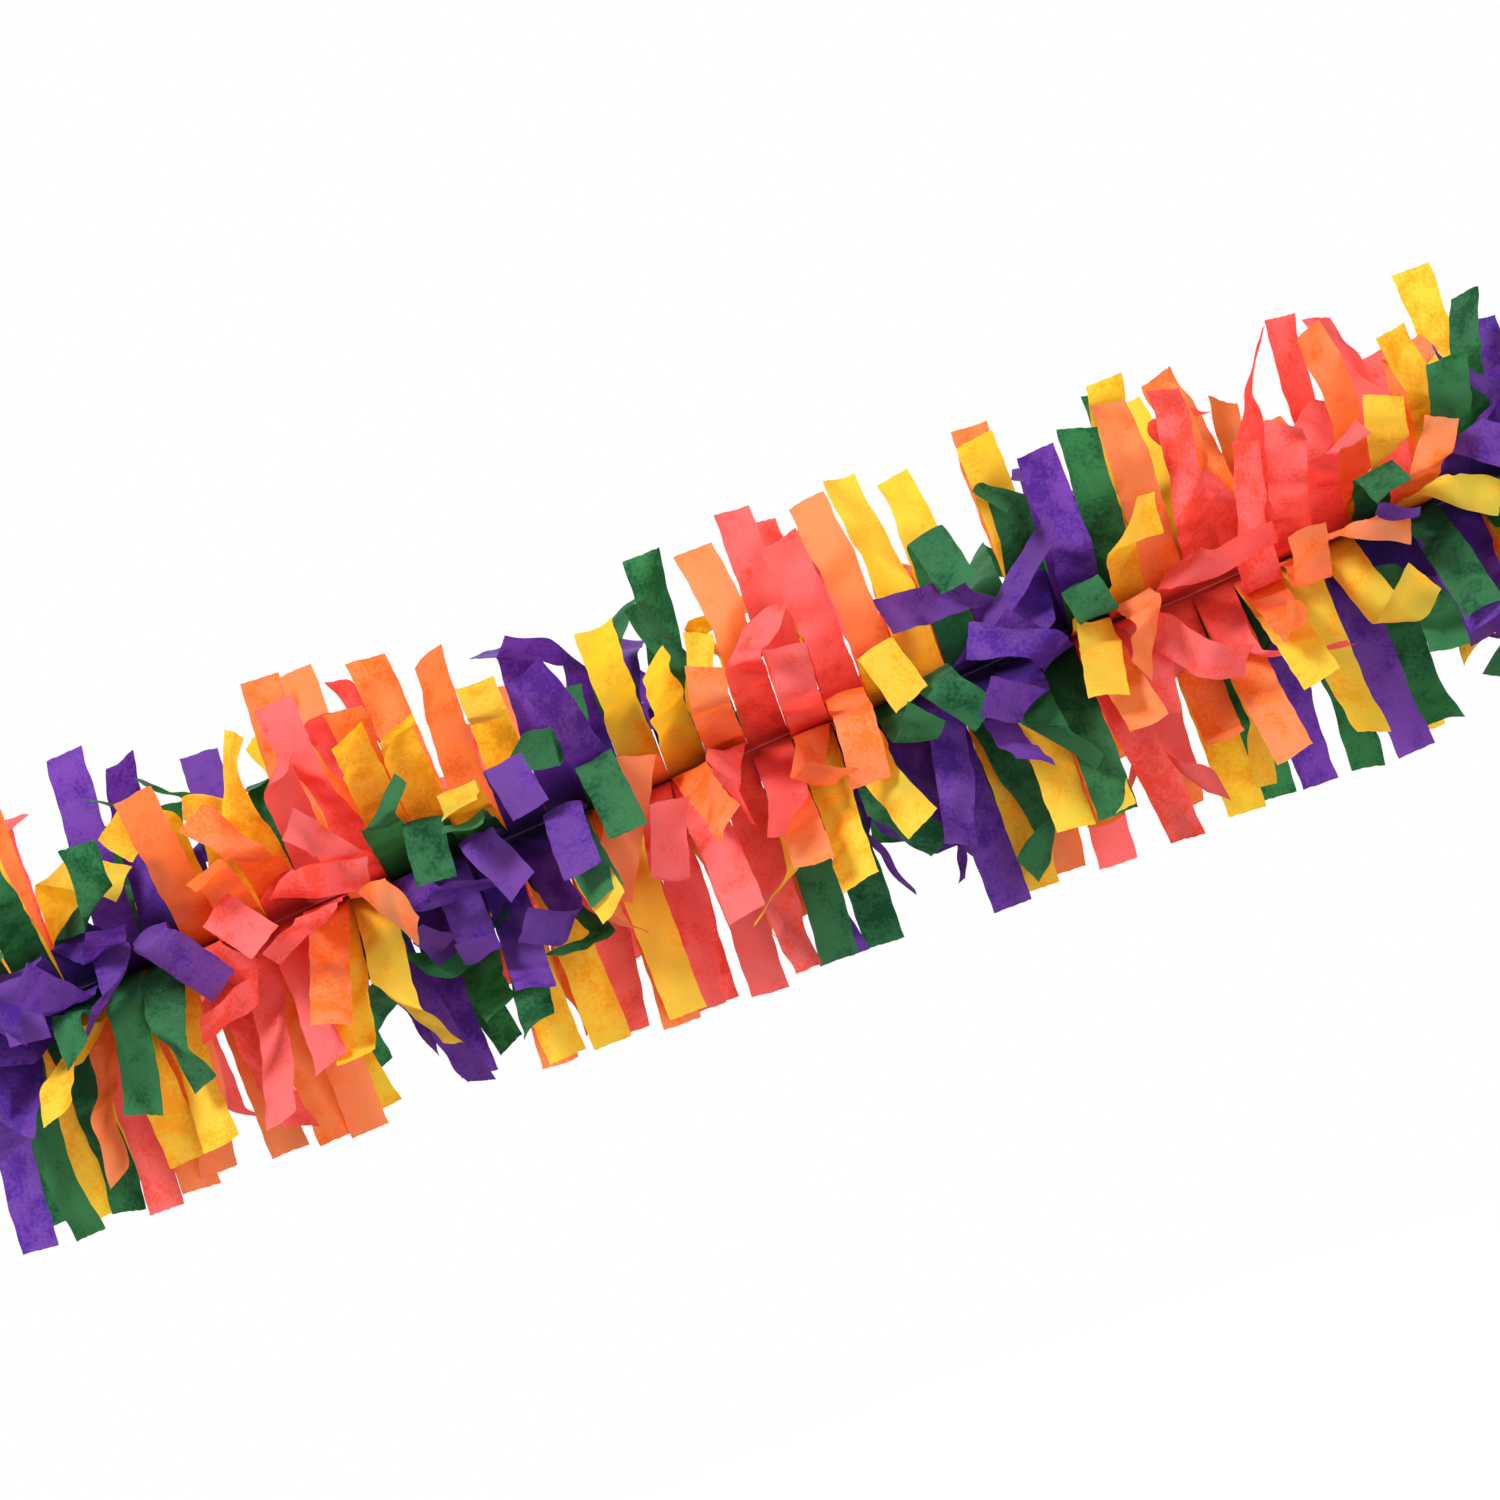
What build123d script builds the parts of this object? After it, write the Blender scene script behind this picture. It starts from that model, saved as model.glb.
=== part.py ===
from build123d import *
import math
import os
import random

import numpy as np

# A garland of tissue paper: five coloured plies are laid on each other, cut into a fringe
# along both edges, sewn together down the middle and twisted, so that the fringe fans out.
# The seam runs along +X from the origin, +Z is up and the photograph is taken from -Y.

# Driving dimensions in millimetres
garland_length = 500.0
strip_width = 140.0  # of each flat ply, from fringe tip to fringe tip
tab_pitch = 12.5  # from one slit to the next
slit_width = 0.7
seam_margin = 1.5  # from the middle of the seam to the inner end of a slit
paper_thickness = 0.25
ply_gap = 0.3
turn_length = 147.0  # of seam, for one full turn of the twist
face_start = 32.5  # where the purple ply first faces the viewer
thread_diameter = 0.6
thread_sides = 6  # flats round a thread
thread_clearance = 0.15
fold_clearance = 0.6  # that a tab keeps from the tabs around it
neighbour_clearance = 0.25  # beside its first panel, where the slit is
seam_clearance = 4.0  # that the folded part of a tab keeps from the seam
end_allowance = 4.0  # that a tab may lean out past the ends of the seam
length_variation = 2.5  # by which hand-cut tabs are shorter
first_fold_range = (11.0, 24.0)  # from the seam to the first fold of a tab
second_fold_gap = (19.0, 32.0)  # from the first fold to the second

# Angles in degrees
root_spread = 60.0  # most that a tab turns at its root, either way
root_step = 7.0  # least turn between two plies at the root
pull_limit = 80.0  # most that a tab is drawn round to where its colour shows
least_spacing = 7.0  # between two tabs of one station
aim_shake = 9.0  # by which a tab misses the place where its colour shows
hour_shake = 10.0  # by which a tab misses the way that it points
hour_step = 30.0  # from one hour of a clock face to the next
front_lift = 28.0  # by which a tab in front stands on the far side of the seam it falls over
front_width = 32.0  # above and below level, in which a tab with a mark counts as in front
fold_limit = 130.0
slant_limit = 1.3  # of a fold, as the tangent of its angle to a square fold
first_flop_range = (15.0, 75.0)  # away from straight out, after the first fold
second_flop_range = (20.0, 115.0)
flat_flop_range = (60.0, 100.0)  # after the first fold of the plies that keep off the outline
upright_range = (0.0, 40.0)  # after both folds of the other plies, where they stand or hang
upright_start = 42.0  # above and below level, from where tabs stand and hang
flop_heading = 75.0  # most that a tab flops along the seam instead of round it
drooping_share = 0.4  # of the tabs below the seam flop down, the others up over it
curling_share = 0.7  # of the second folds bend on in the way of the first

# Slopes, as parts of the length of a tab
cut_slant = 0.06  # most that the end of a hand-cut tab is out of square
front_lean = (0.0, 0.5)  # to the viewer, of a tab in front that points to its hour
front_tip_lean = (-0.6, 0.3)  # the same, of its tip
edge_lean = (-0.3, 0.3)  # to the viewer, of a tab that points to its hour on top or below
edge_drift = (-0.5, 0.5)  # along the seam, of the same tab
over_lean = (0.4, 1.0)  # to the viewer, of a tip that is folded over
over_drift = (-0.7, 0.7)  # along the seam, of the same tip

# The plies in the order of the stack
plies = ("purple", "green", "yellow", "orange", "coral")
flat_plies = ("purple", "green")  # the dark ones, which seldom make the outline

# What shows at each tab's place: the first letter of its colour and the hour of a clock
# face to which the tab points. On top and below, a capital stands out to the edge of the
# garland and a small letter has its tip folded over. A dot leaves the place to the twist.
shows_on_top = """
    . . c11 y11 P12 g11 y1 y1 g1 O12 O12 c11 C11 P11 y12 p1 C12 y11 G12 o12
    y10 C11 C11 O12 Y12 g12 C12 O12 p1 p11 Y12 C12 c11 C1 C12 c1 C11 o11 Y1 p12
"""
shows_in_front = """
    p4 p3 p6 c3 o12 p5 p6 p5 c4 g3 p6 p3 g6 y5 p6 g5 g6 o7 p6 o2
    y6 p3 o6 y5 g4 p2 g3 p10 o2 c3 g4 y1 y6 p6 o3 g5 o3 o6 y5 p6
"""
shows_below = """
    P6 C6 G6 C6 O6 Y6 O6 O6 O6 C6 P6 C6 C6 O6 Y6 C7 Y6 O6 C6 o6
    P6 G6 O6 c6 O6 Y6 O6 C6 C6 p5 Y6 G6 P6 G6 P6 Y6 C6 C6 o6 o6
"""

tiny = 1e-9  # below which a volume or a length counts as nothing
spacing_shake = 0.18  # of the space between two tabs
relax_rounds = 6
# Of its first and its second fold, the shares that a tab tries in turn
fold_shares = ((1.0, 1.0),) * 4 + ((0.8, 1.0), (0.6, 1.0), (0.35, 1.0), (0.15, 0.9), (0.0, 0.8), (0.0, 0.4))
part_seed = 34


def direction(angle):
    """Unit vector square to the seam, at 0 towards the viewer and at 90 degrees up."""
    return np.array((0.0, -math.cos(angle), math.sin(angle)))


def face_angle(x):
    """The way the purple face points at x."""
    return 2 * math.pi * (x - face_start) / turn_length


def ply_offset(ply):
    """How far a ply lies from the middle of the stack."""
    return (len(plies) / 2 - 0.5 - ply) * (paper_thickness + ply_gap)


def seam_point(x, across, height):
    """A point of the twisted seam, across from its middle line and above its middle ply."""
    face = face_angle(x)
    return (
        np.array((x, 0.0, 0.0))
        + across * direction(face + math.pi / 2)
        + height * direction(face)
    )


def turned(vector, axis, angle):
    """A vector turned about an axis, so that a tab goes round with growing angles."""
    c, s = math.cos(angle), -math.sin(angle)
    return vector * c + cross(axis, vector) * s + axis * axis.dot(vector) * (1 - c)


def cross(a, b):
    return np.array((a[1] * b[2] - a[2] * b[1], a[2] * b[0] - a[0] * b[2], a[0] * b[1] - a[1] * b[0]))


def unit(vector):
    return vector / math.sqrt(vector.dot(vector))


def fold_towards(along, across, normal, target, share):
    """The slant of the fold that turns a tab's way to a target, and a share of its angle."""
    crease = cross(normal, along - target)
    slant = crease.dot(along) * crease.dot(across) / max(crease.dot(across) ** 2, tiny)
    slant = min(max(slant, -slant_limit), slant_limit)
    crease = unit(across + slant * along)
    square_along = along - crease * crease.dot(along)
    square_target = target - crease * crease.dot(target)
    angle = math.atan2(
        crease.dot(cross(square_target, square_along)), square_along.dot(square_target)
    )
    limit = math.radians(fold_limit)
    return slant, share * min(max(angle, -limit), limit)


def fold_tab(x, side, ply, pose):
    """Four lines across one folded tab, from its root to its tip, as rows of two points.

    Also gives for each line the vectors from the middle of the paper to its surface,
    for paper that is two units thick.
    """
    left, right = (
        seam_point(x + end * tab_pitch / 2, side * seam_margin, ply_offset(ply))
        for end in (-1, 1)
    )
    face = face_angle(x)
    along = direction(face + side * math.pi / 2 + pose["root"])
    across = unit((right - left) - along * along.dot(right - left))
    normal = side * cross(across, along)
    half = (tab_pitch - slit_width) / 2 / across[0]
    origin = (left + right) / 2
    lines = [np.array((left, right))]
    edge_face = [direction(face_angle(x + end * tab_pitch / 2)) for end in (-1, 1)]
    surfaces = [np.array(edge_face)]
    for (place, target), share in zip(pose["folds"], pose["shares"]):
        slant, angle = fold_towards(along, across, normal, target, share)
        crease = unit(across + slant * along)
        lines.append(
            np.array(
                [origin + (place + slant * q) * along + q * across for q in (-half, half)]
            )
        )
        pivot = origin + place * along
        before = normal
        along, across, normal = (turned(v, crease, angle) for v in (along, across, normal))
        origin = pivot - place * along
        mitre = unit(before + normal) / math.cos(angle / 2)
        surfaces.append(np.array((mitre, mitre)))
    tip = pose["length"]
    lines.append(
        np.array([origin + (tip + pose["cut"] * q) * along + q * across for q in (-half, half)])
    )
    surfaces.append(np.array((normal, normal)))
    return np.array(lines), np.array(surfaces)


def tabs_in_turn():
    """The ply and side of each tab of a station, going round from the purple face."""
    count = len(plies)
    return [(ply, 1) for ply in range(count)] + [(ply, -1) for ply in reversed(range(count))]


def colour_pins(station, rng):
    """The tabs that show at a station, each with its aim, place in turn, pull and mark."""
    tabs = tabs_in_turn()
    step = 2 * math.pi / len(tabs)
    face = face_angle((station + 0.5) * tab_pitch)
    pins = []
    for marks, aim, lift in ((shows_below, -90, 0), (shows_in_front, 0, front_lift), (shows_on_top, 90, 0)):
        marks = marks.split()
        mark = marks[station % len(marks)]
        aim -= lift * math.cos(math.radians(hour_step * int(mark[1:] or 0)))
        aim = math.radians(aim + rng.uniform(-aim_shake, aim_shake))
        pulls = []
        for k, (ply, side) in enumerate(tabs):
            if plies[ply][0] == mark[0].lower():
                pull = (aim - face - (k + 0.5) * step + math.pi) % (2 * math.pi) - math.pi
                pulls.append((abs(pull), k, pull))
        if pulls and min(pulls)[0] < math.radians(pull_limit):
            pins.append((aim, *min(pulls)[1:], mark))
    while len(pins) > 1:
        crossed = [pair for pair in zip(pins, pins[1:] + pins[:1]) if out_of_turn(*pair, step)]
        if not crossed:
            break
        pins.remove(max(crossed[0], key=lambda pin: abs(pin[2])))
    return pins or [(face + step / 2, 0, 0.0, "")]


def out_of_turn(pin, next_pin, step):
    """Whether the tabs between two pins would be crowded or would pass each other."""
    between = (next_pin[1] - pin[1]) % (2 * len(plies))
    room = (next_pin[0] - pin[0]) % (2 * math.pi)
    wound = pin[2] + room - between * step - next_pin[2]
    return not between or room < between * math.radians(least_spacing) or abs(wound) > step


def station_tabs(station, rng):
    """The tabs of a station and the way each points, drawn round to where its colour shows."""
    tabs = tabs_in_turn()
    step = 2 * math.pi / len(tabs)
    pins = colour_pins(station, rng)
    result = []
    for (aim, first, pull, mark), (next_aim, last, *_) in zip(pins, pins[1:] + pins[:1]):
        between = (last - first) % len(tabs) or len(tabs)
        room = (next_aim - aim) % (2 * math.pi) or 2 * math.pi
        for place in range(between):
            ply, side = tabs[(first + place) % len(tabs)]
            shake = rng.uniform(-spacing_shake, spacing_shake) if place else 0.0
            drawn = room * (place + shake) / between
            natural = ((first + place) % len(tabs) + 0.5) * step
            plane = math.pi / 2 if side > 0 else 3 * math.pi / 2
            result.append(
                {
                    "station": station,
                    "ply": ply,
                    "side": side,
                    "rank": ply if side > 0 else len(plies) - 1 - ply,
                    "turn": natural + pull + drawn - place * step - plane,
                    "angle": aim + drawn,
                    "mark": "" if place else mark,
                }
            )
    return result


def flopped(angle, way, flop_range, rng):
    """The way of a tab that flops over from straight out, round the seam and along it."""
    flop = math.radians(rng.uniform(*flop_range))
    heading = math.radians(rng.uniform(-flop_heading, flop_heading))
    sideways = way * math.cos(heading) * direction(angle + math.pi / 2)
    sideways[0] += math.sin(heading)
    return math.cos(flop) * direction(angle) + math.sin(flop) * sideways


def leaning(way, lean, drift, rng):
    """A way that also leans to the viewer and drifts along the seam."""
    return way + rng.uniform(*lean) * direction(0.0) + np.array((rng.uniform(*drift), 0.0, 0.0))


def shown_ways(tab, rng):
    """The ways of a tab with a mark, after its first fold and after its second."""
    hour = math.radians(hour_step * int(tab["mark"][1:]) + rng.uniform(-hour_shake, hour_shake))
    pointed = math.cos(hour) * direction(math.pi / 2) + np.array((math.sin(hour), 0.0, 0.0))
    if abs(math.sin(tab["angle"])) < math.sin(math.radians(front_width)):
        return leaning(pointed, front_lean, (0, 0), rng), leaning(pointed, front_tip_lean, (0, 0), rng)
    first = leaning(pointed, edge_lean, edge_drift, rng)
    if tab["mark"][0].islower():
        return first, leaning(-pointed, over_lean, over_drift, rng)
    return first, leaning(pointed, edge_lean, (0, 0), rng)


def flopped_ways(tab, rng):
    """The ways of a tab that only falls over, after its first fold and after its second."""
    angle = tab["angle"]
    falls = rng.random() < drooping_share or math.sin(angle) > 0
    way = math.copysign(1, -math.cos(angle)) * (1 if falls else -1)
    first_range, second_range = first_flop_range, second_flop_range
    if plies[tab["ply"]] in flat_plies:
        first_range = flat_flop_range
    elif abs(math.sin(angle)) > math.sin(math.radians(upright_start)):
        first_range = second_range = upright_range
    first = flopped(angle, way, first_range, rng)
    way *= 1 if rng.random() < curling_share else -1
    return first, flopped(angle, way, second_range, rng)


def wanted_pose(tab, shares):
    """How a tab folds if nothing is in its way, with only a share of the angle of each fold."""
    rng = tab["rng"]
    spread, step = math.radians(root_spread), math.radians(root_step)
    lowest = tab["rank"] * step - spread
    highest = spread - (len(plies) - 1 - tab["rank"]) * step
    first, second = (shown_ways if tab["mark"] else flopped_ways)(tab, rng)
    first_place = rng.uniform(*first_fold_range)
    return {
        "root": min(max(tab["turn"], lowest), highest),
        "folds": [
            (first_place, unit(first)),
            (first_place + rng.uniform(*second_fold_gap), unit(second)),
        ],
        "shares": shares,
        "length": strip_width / 2 - seam_margin - rng.uniform(0.0, length_variation),
        "cut": rng.uniform(-cut_slant, cut_slant),
    }


def panel_triangles(lines):
    """Triangles of the panels between successive lines across a tab."""
    near, far = lines[..., :-1, :, :], lines[..., 1:, :, :]
    first = np.stack((near[..., 0, :], near[..., 1, :], far[..., 1, :]), axis=-2)
    second = np.stack((near[..., 0, :], far[..., 1, :], far[..., 0, :]), axis=-2)
    return np.concatenate((first, second), axis=-3)


def panel_edges(lines):
    """The lines across a tab and the edges along it, each as two points."""
    along = np.stack((lines[..., :-1, :, :], lines[..., 1:, :, :]), axis=-2)
    along = along.reshape(*along.shape[:-4], -1, 2, 3)
    return np.concatenate((lines, along), axis=-3)


def any_crossing(edges, triangles):
    """Whether any edge passes through any triangle."""
    corners = [triangles[:, k] for k in range(3)]
    normal = np.cross(corners[1] - corners[0], corners[2] - corners[0])
    level = (normal * corners[0]).sum(1)
    before, after = (edges[:, k] @ normal.T - level for k in range(2))
    edge, tri = np.nonzero(before * after < 0)
    share = before[edge, tri] / (before[edge, tri] - after[edge, tri])
    point = edges[edge, 0] + share[:, None] * (edges[edge, 1] - edges[edge, 0])
    inside = np.ones(len(edge), bool)
    for start, end in zip(corners, corners[1:] + corners[:1]):
        outward = np.cross(end[tri] - start[tri], point - start[tri])
        inside &= (outward * normal[tri]).sum(1) >= 0
    return bool(inside.any())


def lifted_root(lines):
    """The same tab without the first millimetre, where neighbours meet at the seam."""
    lines = lines.copy()
    lines[0] += unit(lines[1].mean(0) - lines[0].mean(0))
    return lines


class NearShapes:
    """The triangles or edges of all tabs, from which those near a box can be picked."""

    def __init__(self, tabs, shapes, corners):
        self.points = np.zeros((tabs, shapes, corners, 3))
        self.low, self.high = np.zeros((tabs, shapes, 3)), np.zeros((tabs, shapes, 3))

    def put(self, number, points):
        self.points[number] = points
        self.low[number], self.high[number] = points.min(1), points.max(1)

    def pick(self, number, low, high):
        """Those of the other tabs that reach into the box from low to high."""
        reached = ((self.low <= high) & (self.high >= low)).all(2)
        reached[number] = False
        return self.points[reached]


class FringeLayout:
    """The folded tabs of the whole garland, none of which touches another."""

    def __init__(self):
        self.stations = round(garland_length / tab_pitch)
        self.tabs = []
        seed = part_seed
        for station in range(self.stations):
            self.tabs += station_tabs(station, random.Random(f"{seed}: station {station}"))
        count = len(self.tabs)
        self.triangles = NearShapes(count, 6, 3)
        self.edges = NearShapes(count, 10, 2)
        for number, tab in enumerate(self.tabs):
            tab["rng"] = random.Random(f"{seed}: tab {number}")
            self.place(number, wanted_pose(tab, (0.0, 0.0)))
        shown = [number for number in range(count) if self.tabs[number]["mark"]]
        dark = [n for n in range(count) if plies[self.tabs[n]["ply"]] in flat_plies]
        for sweep in range(relax_rounds):
            for number in dict.fromkeys(shown + dark + list(range(count))):
                self.relax(number)

    def shape(self, number, pose):
        tab = self.tabs[number]
        return fold_tab((tab["station"] + 0.5) * tab_pitch, tab["side"], tab["ply"], pose)

    def place(self, number, pose):
        lines = lifted_root(self.shape(number, pose)[0])
        self.triangles.put(number, panel_triangles(lines).reshape(-1, 3, 3))
        self.edges.put(number, panel_edges(lines))
        self.tabs[number]["pose"] = pose

    def relax(self, number):
        """Folds a tab further, in the first of several ways that the others leave room for."""
        tab = self.tabs[number]
        for shares in fold_shares:
            if sum(shares) <= sum(tab["pose"]["shares"]):
                break
            pose = wanted_pose(tab, shares)
            if self.is_clear(number, pose):
                self.place(number, pose)
                break

    def is_clear(self, number, pose):
        lines, surfaces = self.shape(number, pose)
        lines = lifted_root(lines)
        low, high = lines.min((0, 1)) - fold_clearance, lines.max((0, 1)) + fold_clearance
        if low[0] < -end_allowance or high[0] > garland_length + end_allowance:
            return False
        if seam_distance(lines[1:]) < seam_clearance:
            return False
        layers = clearance_layers(lines, surfaces)
        own_triangles = panel_triangles(layers).reshape(-1, 3, 3)
        own_edges = panel_edges(layers).reshape(-1, 2, 3)
        triangles = self.triangles.pick(number, low, high)
        edges = self.edges.pick(number, low, high)
        if any_crossing(own_edges, triangles) or any_crossing(edges, own_triangles):
            return False
        return not any_crossing(panel_edges(lines[2:]), panel_triangles(lines[:2]))


def clearance_layers(lines, surfaces):
    """Sheets on both sides of a tab, between which no other tab may come."""
    reach = np.full((len(lines), 1, 1), fold_clearance)
    reach[0] = paper_thickness / 2
    across = lines[:, 1] - lines[:, 0]
    across /= np.linalg.norm(across, axis=-1, keepdims=True)
    widened = lines.copy()
    beside = np.array((0.0, neighbour_clearance, fold_clearance, fold_clearance))
    widened += beside[:, None, None] * np.stack((-across, across), axis=1)
    widened[-1] += fold_clearance * unit(lines[-1].mean(0) - lines[-2].mean(0))
    return np.stack((widened + reach * surfaces, widened - reach * surfaces))


def seam_distance(lines):
    """The least distance between the middle line of the seam and the edges of a tab."""
    points = lines[..., 1:]
    start, way = points[:-1], points[1:] - points[:-1]
    start, way = start.reshape(-1, 2), way.reshape(-1, 2)
    place = -(start * way).sum(-1) / np.maximum((way * way).sum(-1), tiny)
    nearest = start + np.clip(place, 0, 1)[:, None] * way
    return np.linalg.norm(nearest, axis=-1).min()


def flat_face(*corners):
    """A flat face through corners that lie in one plane."""
    return Face(Wire.make_polygon([Vector(*corner) for corner in corners], close=True))


def flat_faces(a, b, c, d):
    """One face through four corners, or two triangles where they aren't in one plane."""
    lift = abs(np.dot(np.cross(b - a, d - a), c - a))
    if lift < tiny:
        return [flat_face(a, b, c, d)]
    return [flat_face(a, b, c), flat_face(a, c, d)]


def paper_ply(layout, ply):
    """One ply as a single folded sheet of paper."""
    half = paper_thickness / 2
    faces = []
    tabs = [tab for tab in layout.tabs if tab["ply"] == ply]
    for tab in tabs:
        x = (tab["station"] + 0.5) * tab_pitch
        lines, surfaces = fold_tab(x, tab["side"], ply, tab["pose"])
        upper, lower = lines + half * surfaces, lines - half * surfaces
        for k in range(len(lines) - 1):
            for sheet in (upper, lower):
                faces += flat_faces(sheet[k, 0], sheet[k, 1], sheet[k + 1, 1], sheet[k + 1, 0])
            for end in (0, 1):
                faces += flat_faces(
                    upper[k, end], lower[k, end], lower[k + 1, end], upper[k + 1, end]
                )
        faces += flat_faces(upper[-1, 0], upper[-1, 1], lower[-1, 1], lower[-1, 0])
    for station in range(layout.stations):
        left, right = station * tab_pitch, (station + 1) * tab_pitch
        for height in (ply_offset(ply) + half, ply_offset(ply) - half):
            corners = [
                seam_point(left, -seam_margin, height),
                seam_point(right, -seam_margin, height),
                seam_point(right, seam_margin, height),
                seam_point(left, seam_margin, height),
            ]
            centre = sum(corners) / len(corners)
            for start, end in zip(corners, corners[1:] + corners[:1]):
                faces.append(flat_face(start, end, centre))
    for x in (0.0, layout.stations * tab_pitch):
        faces += flat_faces(
            seam_point(x, -seam_margin, ply_offset(ply) - half),
            seam_point(x, seam_margin, ply_offset(ply) - half),
            seam_point(x, seam_margin, ply_offset(ply) + half),
            seam_point(x, -seam_margin, ply_offset(ply) + half),
        )
    return Solid(Shell(faces))


def seam_thread(layout, side):
    """The sewing thread that lies along one face of the stack."""
    radius = thread_diameter / 2
    outer = ply_offset(0) + paper_thickness / 2 + thread_clearance + radius
    sections = []
    for station in range(layout.stations + 1):
        centre = seam_point(station * tab_pitch, 0.0, side * outer)
        turns = [k * 2 * math.pi / thread_sides for k in range(thread_sides)]
        corners = [Vector(*(centre + radius * direction(turn))) for turn in turns]
        sections.append(Wire.make_polygon(corners, close=True))
    return Solid.make_loft(sections, ruled=True)


layout = FringeLayout()
os.makedirs("parts", exist_ok=True)
for number, name in enumerate(plies):
    export_step(paper_ply(layout, number), f"parts/{name}_ply.step")
export_step(seam_thread(layout, 1), "parts/needle_thread.step")
export_step(seam_thread(layout, -1), "parts/bobbin_thread.step")
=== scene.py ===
# A garland of five tissue plies: cut into a fringe, sewn down the middle and twisted
import math
import random

import bmesh
import bpy
import numpy as np
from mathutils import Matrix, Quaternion, Vector


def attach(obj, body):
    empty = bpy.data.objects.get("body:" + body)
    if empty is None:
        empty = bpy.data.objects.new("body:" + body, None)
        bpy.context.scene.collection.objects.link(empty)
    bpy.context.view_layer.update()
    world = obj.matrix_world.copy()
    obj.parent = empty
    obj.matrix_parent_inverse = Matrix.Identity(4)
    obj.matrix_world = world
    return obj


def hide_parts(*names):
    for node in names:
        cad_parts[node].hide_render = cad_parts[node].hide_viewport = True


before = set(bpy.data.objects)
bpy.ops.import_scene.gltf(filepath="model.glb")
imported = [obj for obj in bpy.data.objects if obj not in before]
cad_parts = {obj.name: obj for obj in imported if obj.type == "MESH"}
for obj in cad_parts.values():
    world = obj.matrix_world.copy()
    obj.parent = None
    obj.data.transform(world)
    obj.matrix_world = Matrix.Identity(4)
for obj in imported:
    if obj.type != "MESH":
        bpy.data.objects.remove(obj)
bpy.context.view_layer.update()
millimetre = 0.001
tiny = 1e-9
print("frame loaded")


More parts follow.
